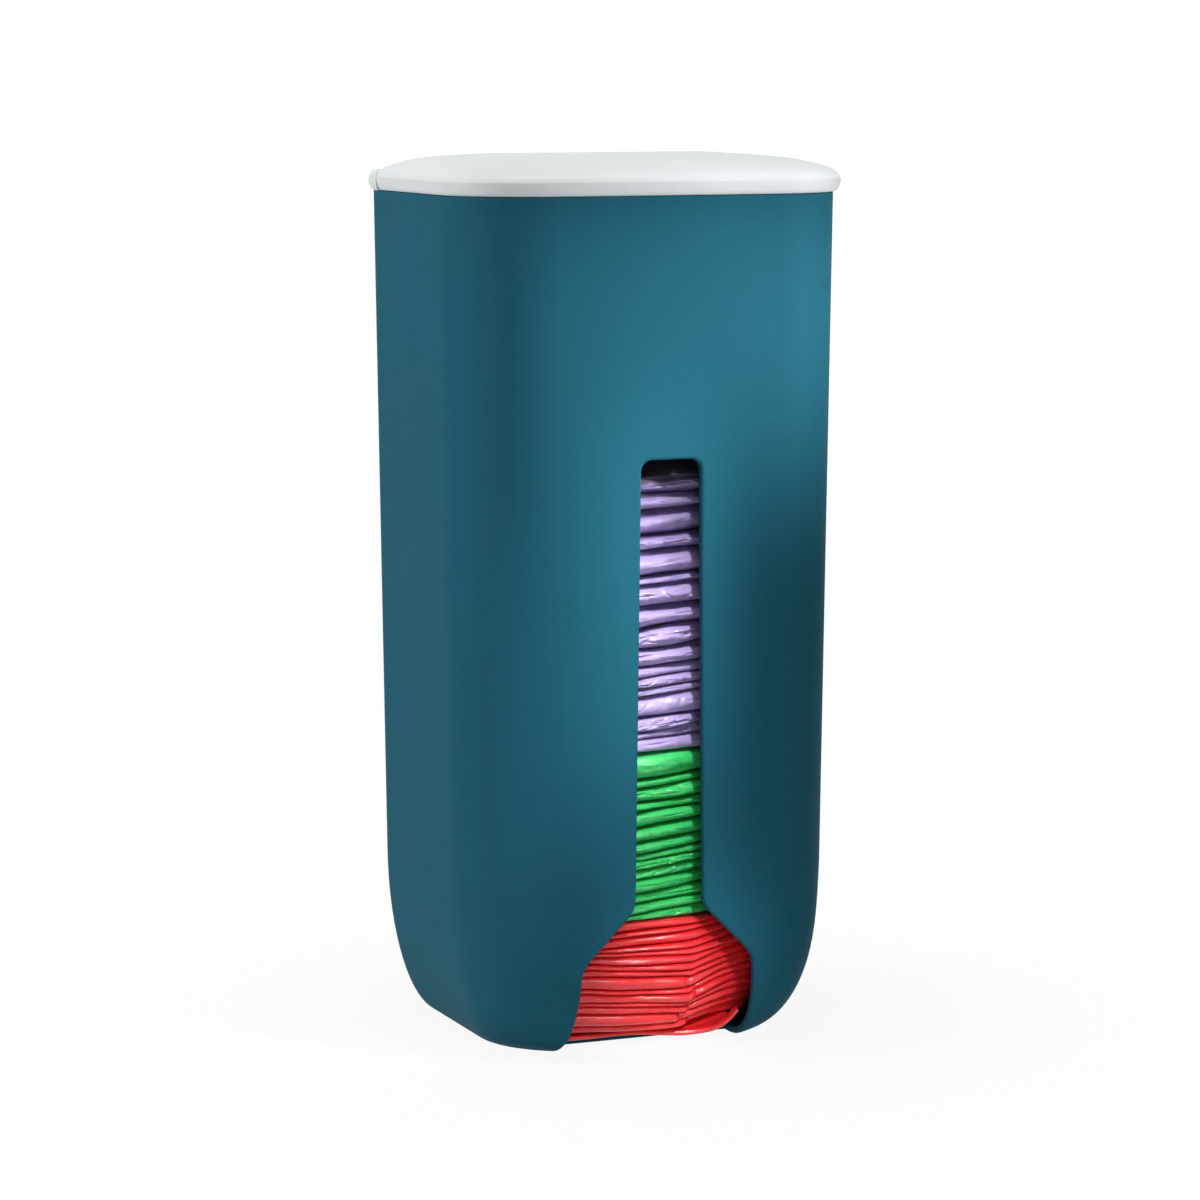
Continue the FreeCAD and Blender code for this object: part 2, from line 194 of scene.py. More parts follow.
class FilmSettings(bpy.types.PropertyGroup):
    """Colours of the three packs and the form of their folds."""

    red: bpy.props.FloatVectorProperty(
        name="Red film", description="Colour of the lowest pack", subtype="COLOR", size=3,
        min=0.0, max=1.0, default=(0.82, 0.028, 0.034),
    )
    green: bpy.props.FloatVectorProperty(
        name="Green film", description="Colour of the middle pack", subtype="COLOR", size=3,
        min=0.0, max=1.0, default=(0.045, 0.54, 0.14),
    )
    purple: bpy.props.FloatVectorProperty(
        name="Purple film", description="Colour of the top pack", subtype="COLOR", size=3,
        min=0.0, max=1.0, default=(0.41, 0.325, 0.60),
    )
    roughness: bpy.props.FloatProperty(
        name="Film roughness", description="Roughness of the smooth film", subtype="FACTOR",
        min=0.0, max=1.0, default=0.26,
    )
    fold_depth: bpy.props.FloatProperty(
        name="Fold depth", description="How far a rounded fold stands out, as a share of its thickness",
        subtype="FACTOR", min=0.1, max=2.0, default=1.0,
    )
    stagger: bpy.props.FloatProperty(
        name="Stagger",
        description="How far single bags slip back from the front of their pack",
        unit="LENGTH",
        min=0.0, max=0.01, default=0.0010,
    )
    uneven: bpy.props.FloatProperty(
        name="Uneven", description="How much bags differ in thickness",
        subtype="FACTOR", min=0.0, max=1.0, default=0.45,
    )
    wander: bpy.props.FloatProperty(
        name="Wander",
        description="How far a fold's edge leaves its level, as a share of the thinner bag beside it",
        subtype="FACTOR", min=0.0, max=0.45, default=0.34,
    )
    gap: bpy.props.FloatProperty(
        name="Gap", description="Gap between the front edges of two bags, as a share of their thickness",
        subtype="FACTOR", min=0.0, max=0.5, default=0.18,
    )
    crease: bpy.props.FloatProperty(
        name="Crease", description="Depth of the crease along a fold, as a share of its depth",
        subtype="FACTOR", min=0.0, max=1.0, default=0.30,
    )
    wrinkle: bpy.props.FloatProperty(
        name="Wrinkle", description="Height of the small wrinkles", unit="LENGTH",
        min=0.0, max=0.002, default=0.00022,
    )
    flap: bpy.props.FloatProperty(
        name="Flap", description="Step of the flap that is folded over on top", unit="LENGTH",
        min=0.0, max=0.002, default=0.0004,
    )
    flap_place: bpy.props.FloatProperty(
        name="Flap place", description="Where the folded-over flap ends, to the right of the middle",
        unit="LENGTH", default=0.006,
    )
    kink_place: bpy.props.FloatProperty(
        name="Kink place",
        description="Where the red layers kink, to the right of the middle",
        unit="LENGTH",
        default=0.009,
    )
    kink_shift: bpy.props.FloatProperty(
        name="Kink shift", description="How far the loose layers bend to the right of the packed ones",
        unit="LENGTH", default=0.002,
    )
    sag: bpy.props.FloatProperty(
        name="Sag", description="How far the lowest layers sag right of the kink", unit="LENGTH",
        min=0.0, max=0.005, default=0.0022,
    )
    seam_lift: bpy.props.FloatProperty(
        name="Seam lift",
        description="How far the seams between the packs lie above those of the CAD bags",
        unit="LENGTH", default=0.0013,
    )
    pack_fall: bpy.props.FloatProperty(
        name="Pack fall", description="How much less the packs rise to the right than the CAD bags",
        subtype="FACTOR", min=0.0, max=0.2, default=0.05,
    )
    nose: bpy.props.FloatProperty(
        name="Nose", description="Height of a fold's foremost line, as a share of its thickness",
        subtype="FACTOR", min=0.2, max=0.8, default=0.55,
    )
    slump: bpy.props.FloatProperty(
        name="Slump",
        description="How much lower that line lies at the bottom of the red and the purple pack",
        subtype="FACTOR", min=0.0, max=0.3, default=0.17,
    )
    press: bpy.props.FloatProperty(
        name="Press",
        description="How much shallower the folds are at the bottom of the red and the purple pack",
        subtype="FACTOR", min=0.0, max=0.8, default=0.5,
    )
    curl: bpy.props.FloatProperty(
        name="Curl", description="How far the lowest bag's right front corner curls up", unit="LENGTH",
        min=0.0, max=0.01, default=0.003,
    )
    curl_out: bpy.props.FloatProperty(
        name="Curl out",
        description="How far that corner reaches out to the right and the front",
        unit="LENGTH",
        min=0.0, max=0.004, default=0.0029,
    )
    loft: bpy.props.FloatProperty(
        name="Loft", description="How far the topmost bag puffs up", unit="LENGTH",
        min=0.0, max=0.005, default=0.0018,
    )
    droop: bpy.props.FloatProperty(
        name="Droop", description="How far the lowest bag's loose edge hangs down", unit="LENGTH",
        min=0.0, max=0.002, default=0.0010,
    )
    droop_start: bpy.props.FloatProperty(
        name="Droop start", description="Depth at which the loose edge leaves the floor", unit="LENGTH",
        default=-0.016,
    )
    fan: bpy.props.FloatProperty(
        name="Fan", description="How far the red layers fan out upwards from their kink", unit="LENGTH",
        min=0.0, max=0.01, default=0.0022,
    )
    rise_width: bpy.props.FloatProperty(
        name="Rise width",
        description="How far right of the kink the layers keep fanning out",
        unit="LENGTH",
        min=0.001, default=0.018,
    )
    fan_width: bpy.props.FloatProperty(
        name="Fan width",
        description="How far left of the kink the layers keep fanning out",
        unit="LENGTH",
        min=0.001, default=0.028,
    )
    seam_fall: bpy.props.FloatProperty(
        name="Seam fall",
        description="How much less than its neighbours the layer between two packs rises",
        subtype="FACTOR", min=0.0, max=0.2, default=0.09,
    )
    lip: bpy.props.FloatProperty(
        name="Lip",
        description="How far the loose edge of the lowest bag hangs out on its right",
        unit="LENGTH",
        min=0.0, max=0.01, default=0.0080,
    )
    tuck: bpy.props.FloatProperty(
        name="Tuck", description="How far the layers right of the kink start behind those on its left",
        unit="LENGTH", min=0.0, max=0.005, default=0.0012,
    )
    kink_depth: bpy.props.FloatProperty(
        name="Kink depth", description="Depth of the dent at the kink, as a share of a fold's depth",
        subtype="FACTOR", min=0.0, max=1.0, default=0.7,
    )


class StageSettings(bpy.types.PropertyGroup):
    """Camera, lamps and ground."""

    azimuth: bpy.props.FloatProperty(
        name="Azimuth", description="Camera's turn from the front, negative to the left", subtype="ANGLE",
        default=math.radians(-22.56),
    )
    elevation: bpy.props.FloatProperty(
        name="Elevation", description="Camera's angle above the horizon", subtype="ANGLE",
        default=math.radians(7.70),
    )
    distance: bpy.props.FloatProperty(
        name="Distance", description="Camera's distance from the point it looks at", unit="LENGTH",
        min=0.2, default=1.1,
    )
    aim: bpy.props.FloatVectorProperty(
        name="Aim", description="Point the camera looks at", subtype="TRANSLATION", size=3,
        default=(0.0, 0.001, 0.1125),
    )
    lens: bpy.props.FloatProperty(
        name="Lens", description="Focal length in millimetres on a 36 mm sensor", min=10.0, default=123.4,
    )
    shift: bpy.props.FloatVectorProperty(
        name="Shift", description="Shift of the frame, as a share of its width", size=2,
        default=(-0.01075, 0.01175),
    )
    side_power: bpy.props.FloatProperty(
        name="Side lamp", description="Power of the lamp behind the left side", unit="POWER",
        min=0.0, default=1.03,
    )
    top_power: bpy.props.FloatProperty(
        name="Top lamp",
        description="Power of the lamp above the lid",
        unit="POWER", min=0.0, default=4.3,
    )
    front_power: bpy.props.FloatProperty(
        name="Front lamp",
        description="Power of the low lamp in front",
        unit="POWER", min=0.0, default=1.03,
    )
    slot_power: bpy.props.FloatProperty(
        name="Slot spot", description="Power of the upright beam on the slot and the bags", unit="POWER",
        min=0.0, default=34.9,
    )
    mouth_power: bpy.props.FloatProperty(
        name="Mouth spot", description="Power of the spot on the bags in the mouth", unit="POWER",
        min=0.0, default=9.1,
    )
    panel_power: bpy.props.FloatProperty(
        name="Panel spot", description="Power of the spot on the front, left of the slot", unit="POWER",
        min=0.0, default=6.0,
    )
    shoulder_power: bpy.props.FloatProperty(
        name="Shoulder spot", description="Power of the spot on the front above the slot", unit="POWER",
        min=0.0, default=10.4,
    )
    surround: bpy.props.FloatProperty(
        name="Surround", description="Level of the light from all sides", subtype="FACTOR",
        min=0.0, max=1.0, default=0.03,
    )
    ground: bpy.props.FloatVectorProperty(
        name="Ground", description="Colour of the floor", subtype="COLOR", size=3,
        min=0.0, max=1.0, default=(0.90, 0.90, 0.90),
    )


class Value:
    """A shader socket on which + and * build Math nodes."""

    def __init__(self, finish, socket):
        self.finish = finish
        self.socket = socket

    def math(self, operation, first, second):
        return self.finish.node("ShaderNodeMath", {"operation": operation}, {0: first, 1: second})

    def __add__(self, other):
        return self.math("ADD", self, other)

    def __mul__(self, other):
        return self.math("MULTIPLY", self, other)

    def __radd__(self, other):
        return self.math("ADD", other, self)

    def __rmul__(self, other):
        return self.math("MULTIPLY", other, self)


class Finish:
    """A node tree in the making, for a material or the world."""

    def __init__(self, owner):
        owner.use_nodes = True
        self.owner = owner
        self.tree = owner.node_tree
        self.tree.nodes.clear()

    def node(self, kind, settings=None, inputs=None, output=0):
        """Adds one node, sets it up, feeds its sockets and gives back one of its outputs."""
        made = self.tree.nodes.new(kind)
        for name, value in (settings or {}).items():
            setattr(made, name, value)
        for name, value in (inputs or {}).items():
            if isinstance(value, Value):
                self.tree.links.new(value.socket, made.inputs[name])
            else:
                made.inputs[name].default_value = value
        return Value(self, made.outputs[output]) if made.outputs else None

    def place(self):
        """Object coordinates, in metres."""
        return self.node("ShaderNodeTexCoord", output="Object")

    def noise(self, scale, detail, stretch=(1.0, 1.0, 1.0)):
        """Noise over the object's own coordinates, from 0 to 1. A smaller stretch draws it out."""
        vector = self.node("ShaderNodeMapping", None, {"Vector": self.place(), "Scale": stretch})
        return self.node("ShaderNodeTexNoise", None, {"Vector": vector, "Scale": scale, "Detail": detail})

    def tint(self, colour, amount, factor):
        """Colour that runs from a darker to a lighter tone of itself with factor."""
        dark = [channel * (1.0 - amount) for channel in colour] + [1.0]
        light = [min(1.0, channel * (1.0 + amount)) for channel in colour] + [1.0]
        mixed = {"data_type": "RGBA"}
        return self.node("ShaderNodeMix", mixed, {0: factor, 6: dark, 7: light}, output=2)

    def bump(self, height, distance, strength=1.0):
        inputs = {"Height": height, "Distance": distance, "Strength": strength}
        return self.node("ShaderNodeBump", None, inputs)

    def surface(self, shader):
        self.node("ShaderNodeOutputMaterial", None, {"Surface": shader})
        return self.owner


def rgba(colour):
    return (*colour, 1.0)


def around(level, amount, factor):
    """A number that runs from an amount under its level to as much over it with factor."""
    return level - amount + factor * (2.0 * amount)


def moulded_plastic(name, colour, roughness, plastic, specular):
    """Satin moulded plastic: a fine grain, faint clouds in colour and polish."""
    finish = Finish(bpy.data.materials.new(name))
    clouds = finish.noise(scale=22.0, detail=4.0)
    grain = finish.noise(scale=1.0 / plastic.grain, detail=2.0)
    shader = finish.node("ShaderNodeBsdfPrincipled", None, {
        "Base Color": finish.tint(colour, amount=0.05, factor=clouds),
        "Roughness": around(roughness, amount=0.05, factor=clouds),
        "Specular IOR Level": specular,
        "Normal": finish.bump(grain, plastic.grain_depth),
    })
    return finish.surface(shader)


def drawn_steel(name, colour):
    """Drawn steel wire, with fine lines along X."""
    finish = Finish(bpy.data.materials.new(name))
    lines = finish.noise(scale=900.0, detail=2.0, stretch=(0.02, 1.0, 1.0))
    shader = finish.node("ShaderNodeBsdfPrincipled", None, {
        "Base Color": finish.tint(colour, amount=0.12, factor=lines),
        "Metallic": 1.0,
        "Roughness": around(0.35, amount=0.1, factor=lines),
        "Normal": finish.bump(lines, distance=0.02 * MM),
    })
    return finish.surface(shader)


def bag_film(name, colour, film):
    """Smooth glossy film with drawn-out wrinkles and a slightly uneven tone."""
    finish = Finish(bpy.data.materials.new(name))
    clouds = finish.noise(scale=90.0, detail=3.0)
    wrinkles = finish.noise(scale=300.0, detail=2.0, stretch=(0.35, 0.6, 1.0))
    shader = finish.node("ShaderNodeBsdfPrincipled", None, {
        "Base Color": finish.tint(colour, amount=0.12, factor=clouds),
        "Roughness": around(film.roughness, amount=0.06, factor=clouds),
        "Coat Weight": around(0.7, amount=0.25, factor=clouds),
        "Coat Roughness": 0.28,
        "Specular IOR Level": 0.2,
        "Normal": finish.bump(wrinkles, distance=0.2 * MM, strength=0.35),
    })
    return finish.surface(shader)


def give_material(node, material):
    """Puts a finish on a CAD node, whose mesh stays as it is."""
    for slot in frame["nodes"][node].material_slots:
        slot.material = material


def start_piece():
    """Object mode with nothing selected, ready for a new piece."""
    if bpy.context.object and bpy.context.object.mode != "OBJECT":
        bpy.ops.object.mode_set(mode="OBJECT")
    bpy.ops.object.select_all(action="DESELECT")


def ripple(seed, x, x_length, y=0.0, y_length=1.0):
    """Smooth waviness between about -1 and 1, the same for the same seed."""
    chance = np.random.default_rng(seed)
    total = 0.0
    for weight in WAVE_WEIGHTS:
        turn = chance.uniform(0.0, 2.0 * math.pi)
        pace = chance.uniform(*WAVE_PACES) / weight * WAVE_WEIGHTS[0]
        phase = chance.uniform(0.0, 2.0 * math.pi)
        along = math.cos(turn) * np.asarray(x) / x_length + math.sin(turn) * np.asarray(y) / y_length
        total = total + weight * np.sin(2.0 * math.pi * pace * along + phase)
    return total


def past(x, place, reach):
    """Runs from 0 left of a place to 1 right of it, within about the reach."""
    return 0.5 + 0.5 * np.tanh((x - place) / reach)


def bell(x, place, width):
    """1 at a place, and close to 0 two widths away from it."""
    return np.exp(-(((x - place) / width) ** 2))


def plan_chains(node):
    """Front and rear edge of a CAD bag's plan, each as X values with their Y values."""
    vertices = frame["nodes"][node].data.vertices
    corners = sorted({(round(v.co.x, DIGITS), round(v.co.y, DIGITS)) for v in vertices})
    chains = []
    for side in (1.0, -1.0):
        chain = []
        for point in corners:
            while len(chain) > 1 and side * bend(chain[-2], chain[-1], point) <= 0.0:
                chain.pop()
            chain.append(point)
        chains.append(np.array(chain).T)
    return chains


def bend(first, second, third):
    """Positive where the path through three plan points turns left."""
    along = (second[0] - first[0], second[1] - first[1])
    on = (third[0] - first[0], third[1] - first[1])
    return along[0] * on[1] - along[1] * on[0]


def face_chains(node):
    """Lower and upper face of a CAD bag, each as X values with their heights."""
    heights = {}
    for vertex in frame["nodes"][node].data.vertices:
        heights.setdefault(round(vertex.co.x, DIGITS), []).append(vertex.co.z)
    tallest = max(max(column) - min(column) for column in heights.values())
    places = sorted(x for x, column in heights.items() if max(column) - min(column) > tallest / 2.0)
    lower = [min(heights[x]) for x in places]
    upper = [max(heights[x]) for x in places]
    return np.array((places, lower)), np.array((places, upper))


def rounded_edge(chain, x, reach):
    """Second row of a chain at x, with its corners rounded over a reach to each side."""
    first, last = chain[0][0] + TINY, chain[0][-1] - TINY
    shifts = np.linspace(-reach, reach, ROUND_SAMPLES)
    return np.mean([np.interp(np.clip(x + shift, first, last), *chain) for shift in shifts], axis=0)


def film_blank(columns, rows, levels):
    """A flat bag before it is folded into its place: a closed unit block with fine side walls."""
    start_piece()
    bpy.ops.mesh.primitive_grid_add(x_subdivisions=columns, y_subdivisions=rows, size=1.0)
    blank = bpy.context.object
    bpy.ops.object.mode_set(mode="EDIT")
    bpy.ops.mesh.select_all(action="SELECT")
    for _ in range(levels):
        bpy.ops.mesh.extrude_region_move(TRANSFORM_OT_translate={"value": (0.0, 0.0, 1.0 / levels)})
    bpy.ops.mesh.select_all(action="SELECT")
    bpy.ops.mesh.normals_make_consistent(inside=False)
    bpy.ops.object.mode_set(mode="OBJECT")
    return blank


class BagStack:
    """The bags as they lie on each other: how thick each one is, and where its faces lie."""

    def __init__(self, film):
        self.film = film
        self.faces = [face_chains(node) for node in BAG_NODES]
        self.colours = [node.split("_")[0] for node in BAG_NODES]
        self.packs = {}
        for colour, seed in PACK_SEEDS.items():
            members = [index for index in range(1, len(BAG_NODES)) if self.colours[index] == colour]
            weights = np.exp(film.uneven * np.random.default_rng(seed).standard_normal(len(members)))
            self.packs[colour] = (members, np.cumsum(weights) / weights.sum())

    def span(self, index, x):
        """Heights of the CAD bag's lower and upper face, with their bends rounded."""
        return [rounded_edge(chain, x - self.film.kink_shift, BEND_ROUND) for chain in self.faces[index]]

    def kink(self, index):
        """Where a red layer kinks, and how sharply: 1 at the bottom of the pack, 0 in its upper part."""
        members, _ = self.packs["red"]
        scatter = KINK_SCATTER * np.random.default_rng(KINK_SEED + index).uniform(-1.0, 1.0)
        sharp = np.interp(index / len(members), KINK_FADE, (1.0, 0.0))
        return self.film.kink_place + scatter, sharp

    def pressed(self, index):
        """How flat a fold is pressed: 1 at the bottom of the red or the purple pack, 0 at its top."""
        members, _ = self.packs[self.colours[index]]
        return 0.0 if self.colours[index] == "green" else (members[-1] - index) / len(members)

    def pack_floor(self, index, x):
        """Height under the pack whose lowest bag has this index, or the top of the highest pack."""
        film = self.film
        if index == len(BAG_NODES):
            return self.span(index - 1, x)[1] + film.loft
        if index == 1:
            sagged = np.clip((x - film.kink_place) / SAG_WIDTH, 0.0, SAG_END) ** 2
            return self.span(1, x)[0] - film.sag * sagged
        level = (self.span(index, x)[0] + self.span(index - 1, x)[1]) / 2.0
        return level + film.seam_lift - film.pack_fall * np.clip(x, -PACK_FALL_REACH, PACK_FALL_REACH)

    def underside(self, index, x, y):
        """Height of a bag's lower face. Red layers are uneven left of their kink only."""
        film = self.film
        if index == 0:
            return self.loose_level(self.span(0, x)[0], x, y)
        members, shares = self.packs[self.colours[index]]
        floor = self.pack_floor(members[0], x)
        place = index - members[0]
        if index == 1:
            return floor
        if place == 0:
            return floor - film.seam_fall * np.clip(x, -SEAM_FALL_REACH, SEAM_FALL_REACH)
        height = self.pack_floor(members[-1] + 1, x) - floor
        share = shares[place - 1]
        fan = 0.0
        if self.colours[index] == "red":
            fan = self.fanned(share, x)
            kink, sharp = self.kink(index)
            soft = SOFT_KINK + (SHARP_KINK - SOFT_KINK) * sharp
            share = share + (place / len(members) - share) * past(x, kink, soft)
        thinner = np.diff(shares, prepend=0.0)[place - 1:place + 1].min()
        drift = film.wander * thinner * ripple(DRIFT_SEED + index, x, DRIFT_WAVES[0], y, DRIFT_WAVES[1])
        return floor + height * (share + drift) + fan

    def fanned(self, share, x):
        """How far a red layer rises away from its kink. It is most a third of the way up the pack."""
        film = self.film
        width = np.where(x < film.kink_place, film.fan_width, film.rise_width)
        spread = np.clip(np.abs(x - film.kink_place) / width, 0.0, 1.0)
        return film.fan * FAN_PEAK * share * (1.0 - share) ** 2 * spread

    def upperside(self, index, x, y):
        """Height of a bag's upper face. The topmost and the lowest show wrinkles and a folded-over flap."""
        if 0 < index < len(BAG_NODES) - 1:
            return self.underside(index + 1, x, y)
        film = self.film
        wrinkles = film.wrinkle * (ripple(FLAT_SEED + index, x, FLAT_WAVES[0], y, FLAT_WAVES[1]) - 1.0)
        flap = film.flap * (past(x, film.flap_place, FLAP_SOFT) - 1.0)
        if index == 0:
            level = self.loose_level(self.span(0, x)[1], x, y)
        else:
            level = self.pack_floor(index + 1, x)
        return level + wrinkles + flap

    def loose_level(self, level, x, y):
        """Level of the lowest bag: flat for longer, then its edge droops and its right corner curls up."""
        film = self.film
        lift = level - level.min()
        flat = level.min() + lift ** 2 / max(lift.max(), MM)
        hang = np.clip((film.droop_start - y) / DROOP_WIDTH, 0.0, 1.0) ** 2
        hang = hang * past(x, DROOP_PLACE, DROOP_SOFT)
        corner = np.clip((x - CURL_START) / CURL_WIDTH, 0.0, 1.0) ** 2
        corner = corner * np.clip((CURL_FRONT - y) / CURL_DEPTH, 0.0, 1.0)
        return flat - (film.droop * hang - film.curl * corner)


class Fold:
    """The way of one bag from the blank's points to its folded shape."""

    def __init__(self, points, index, stack):
        self.points = points
        self.index = index
        self.stack = stack
        self.film = stack.film
        self.red = stack.colours[index] == "red"
        self.loose = (index / len(BAG_NODES)) ** LOOSE_POWER
        self.pressed = stack.pressed(index)
        self.kink, self.sharp = stack.kink(index) if self.red and index else (0.0, 0.0)

    def folded(self):
        """Places of all points of the folded bag."""
        x, y, reach = self.plan()
        out = [
            np.where(self.points[:, axis] > EDGE, 1.0, np.where(self.points[:, axis] < -EDGE, -1.0, 0.0))
            for axis in (0, 1)
        ]
        swell = self.swell(x, y, reach) / np.maximum(np.hypot(*out), 1.0)
        x = x + swell * out[0]
        y = y + swell * out[1]
        return np.column_stack((x, y, self.heights(x, y)))

    def plan(self):
        """Plan of the points before the folds swell out, and how far they may swell."""
        film, stack, index = self.film, self.stack, self.index
        node = BAG_NODES[index]
        low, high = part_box(node)
        front, rear = plan_chains(node)
        under, over = stack.span(index, 0.0)
        thickness = over - under
        half = (high.x - low.x) / 2.0 - thickness * film.fold_depth
        fine = min(FINE_SHARE * half, FINE_WIDTH)
        across = 2.0 * self.points[:, 0]
        x = fine * across + (half - fine) * across ** COLUMN_POWER
        edge_y = rounded_edge(front, x, FRONT_ROUND)
        local = stack.upperside(index, x, edge_y) - stack.underside(index, x, edge_y)
        deep = film.fold_depth * (1.0 - film.press * self.pressed)
        reach = deep * np.clip(local, 0.0, MOST_SWELL * thickness)
        front_y = edge_y + reach + self.slip(x, thickness - local)
        if index == 0:
            lip = LIP_LEFT + (1.0 - LIP_LEFT) * past(x, film.kink_place, LIP_SOFT)
            front_y = front_y - film.lip * lip
            front_y = front_y - film.curl_out * past(x, CORNER_PLACE, CORNER_SOFT_FRONT)
            x = x + film.curl_out * past(x, CORNER_PLACE, CORNER_SOFT_SIDE)
        rear_y = rounded_edge(rear, x, REAR_ROUND) - reach
        depth = (self.points[:, 1] + 0.5) ** ROW_POWER
        return x, front_y + (rear_y - front_y) * depth, reach

    def slip(self, x, missing):
        """How far the bag's front lies back: by chance, where it is thin, and right of its kink."""
        film = self.film
        back = film.stagger * (1.0 + ripple(SLIP_SEED + self.index, x, SLIP_WAVE))
        back = back + THIN_SLIP * np.maximum(missing, 0.0)
        fade = np.exp(-np.maximum(x - self.kink, 0.0) / TUCK_FADE)
        return back + film.tuck * self.sharp * past(x, self.kink, TUCK_SOFT) * fade

    def swell(self, x, y, reach):
        """How far the wall stands out at each height: a rounded nose with crumples, a crease and a dent."""
        film, index = self.film, self.index
        height = self.points[:, 2]
        along = x + SLANT * y
        place = film.nose - film.slump * self.pressed
        place = place + NOSE_SWAY * ripple(NOSE_SEED + index, along, NOSE_WAVE)
        below = 1.0 - ((height - place) / place) ** 2
        above = 1.0 - ((height - place) / (1.0 - place)) ** 2
        point = ROUND_POINT + (LOOSE_POINT - ROUND_POINT) * self.loose
        nose = np.clip(np.where(height < place, below, above), 0.0, 1.0) ** point
        rough, creased = RED_ROUGH, RED_CREASE
        if not self.red:
            rough = LEAST_ROUGH + MORE_ROUGH * np.random.default_rng(ROUGH_SEED + index).uniform() ** 2
            creased = 1.0
        out = nose * (reach + rough * self.crumple(along, height))
        out = out * (1.0 - film.kink_depth * self.sharp * bell(x, self.kink, DENT_WIDTH))
        strength = CREASE_MEAN + CREASE_SWING * ripple(CREASE_SEED + index, along, CREASE_WAVE)
        crease = film.crease * creased * np.clip(strength, 0.0, 1.0)
        sway = ripple(CREASE_PLACE_SEED + index, along, CREASE_PLACE_WAVE)
        return out * (1.0 - crease * bell(height, CREASE_PLACE + CREASE_SWAY * sway, CREASE_WIDTH))

    def crumple(self, along, height):
        """Sharp little furrows where the film is creased, at most 0."""
        seed = CRUMPLE_SEED + 2 * self.index
        short = np.abs(ripple(seed, along, SHORT_CRUMPLE[0], height, SHORT_CRUMPLE[1]))
        long = np.abs(ripple(seed + 1, along, LONG_CRUMPLE[0], height, LONG_CRUMPLE[1]))
        furrows = [np.clip(1.0 - FURROW_SHARPNESS * waves, 0.0, 1.0) for waves in (short, long)]
        return -self.film.wrinkle * (furrows[0] + furrows[1])

    def heights(self, x, y):
        """Heights of the points between the bag's faces, with a gap that opens towards the front."""
        bottom = self.stack.underside(self.index, x, y)
        top = self.stack.upperside(self.index, x, y)
        opening = REAR_GAP + (1.0 - REAR_GAP) * np.exp(-(self.points[:, 1] + 0.5) * GAP_FADE)
        uneven = 1.0 + GAP_SWAY * ripple(GAPE_SEED + self.index, x, GAPE_WAVE)
        gape = self.film.gap * (PACKED_GAP + LOOSE_GAP * self.loose) * opening * uneven * (top - bottom)
        return bottom + gape / 2.0 + (top - bottom - gape) * self.points[:, 2]


def fold_bag(blank, index, stack, material):
    """Shapes a copy of the blank into one folded bag in the place of its CAD solid."""
    node = BAG_NODES[index]
    piece = blank.copy()
    piece.data = blank.data.copy()
    piece.name = f"folded_{node}"
    bpy.context.collection.objects.link(piece)
    points = np.empty(len(piece.data.vertices) * 3)
    piece.data.vertices.foreach_get("co", points)
    folded = Fold(points.reshape(-1, 3), index, stack).folded()
    piece.data.vertices.foreach_set("co", folded.ravel())
    piece.data.update()

    start_piece()
    piece.select_set(True)
    bpy.context.view_layer.objects.active = piece
    bpy.ops.object.shade_smooth_by_angle(angle=SMOOTH_ANGLE)
    piece.data.materials.clear()
    piece.data.materials.append(material)
    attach(piece, BODY_OF_NODE[node])
    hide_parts(node)


class BAGBOX_OT_body(bpy.types.Operator):
    """Give the moulded body its satin teal plastic"""

    bl_idname = "bag_box.body"
    bl_label = "Body"

    def execute(self, context):
        plastic = context.scene.bag_box_plastic
        teal = moulded_plastic("satin_teal", plastic.teal, plastic.teal_roughness, plastic, specular=0.03)
        give_material("body_shell", teal)
        return {"FINISHED"}


class BAGBOX_OT_lid(bpy.types.Operator):
    """Give the lid and the hinge strip their pale plastic"""

    bl_idname = "bag_box.lid"
    bl_label = "Lid and hinge strip"

    def execute(self, context):
        plastic = context.scene.bag_box_plastic
        pale = moulded_plastic("satin_pale", plastic.pale, plastic.pale_roughness, plastic, specular=0.35)
        give_material("lid", pale)
        give_material("hinge_strip", pale)
        return {"FINISHED"}


class BAGBOX_OT_pin(bpy.types.Operator):
    """Give the hinge pin its drawn steel"""

    bl_idname = "bag_box.pin"
    bl_label = "Hinge pin"

    def execute(self, context):
        give_material("hinge_pin", drawn_steel("drawn_steel", context.scene.bag_box_plastic.steel))
        return {"FINISHED"}


class BAGBOX_OT_bags(bpy.types.Operator):
    """Fold every bag of the three packs into the place of its CAD solid"""

    bl_idname = "bag_box.bags"
    bl_label = "Folded bags"

    def execute(self, context):
        film = context.scene.bag_box_film
        materials = {
            colour: bag_film(f"{colour}_film", getattr(film, colour), film)
            for colour in ("red", "green", "purple")
        }
        stack = BagStack(film)
        covered = film_blank(columns=120, rows=10, levels=16)
        uncovered = film_blank(columns=120, rows=40, levels=16)
        for index, colour in enumerate(stack.colours):
            blank = uncovered if index in (0, len(BAG_NODES) - 1) else covered
            fold_bag(blank, index, stack, materials[colour])
        bpy.data.objects.remove(covered)
        bpy.data.objects.remove(uncovered)
        return {"FINISHED"}


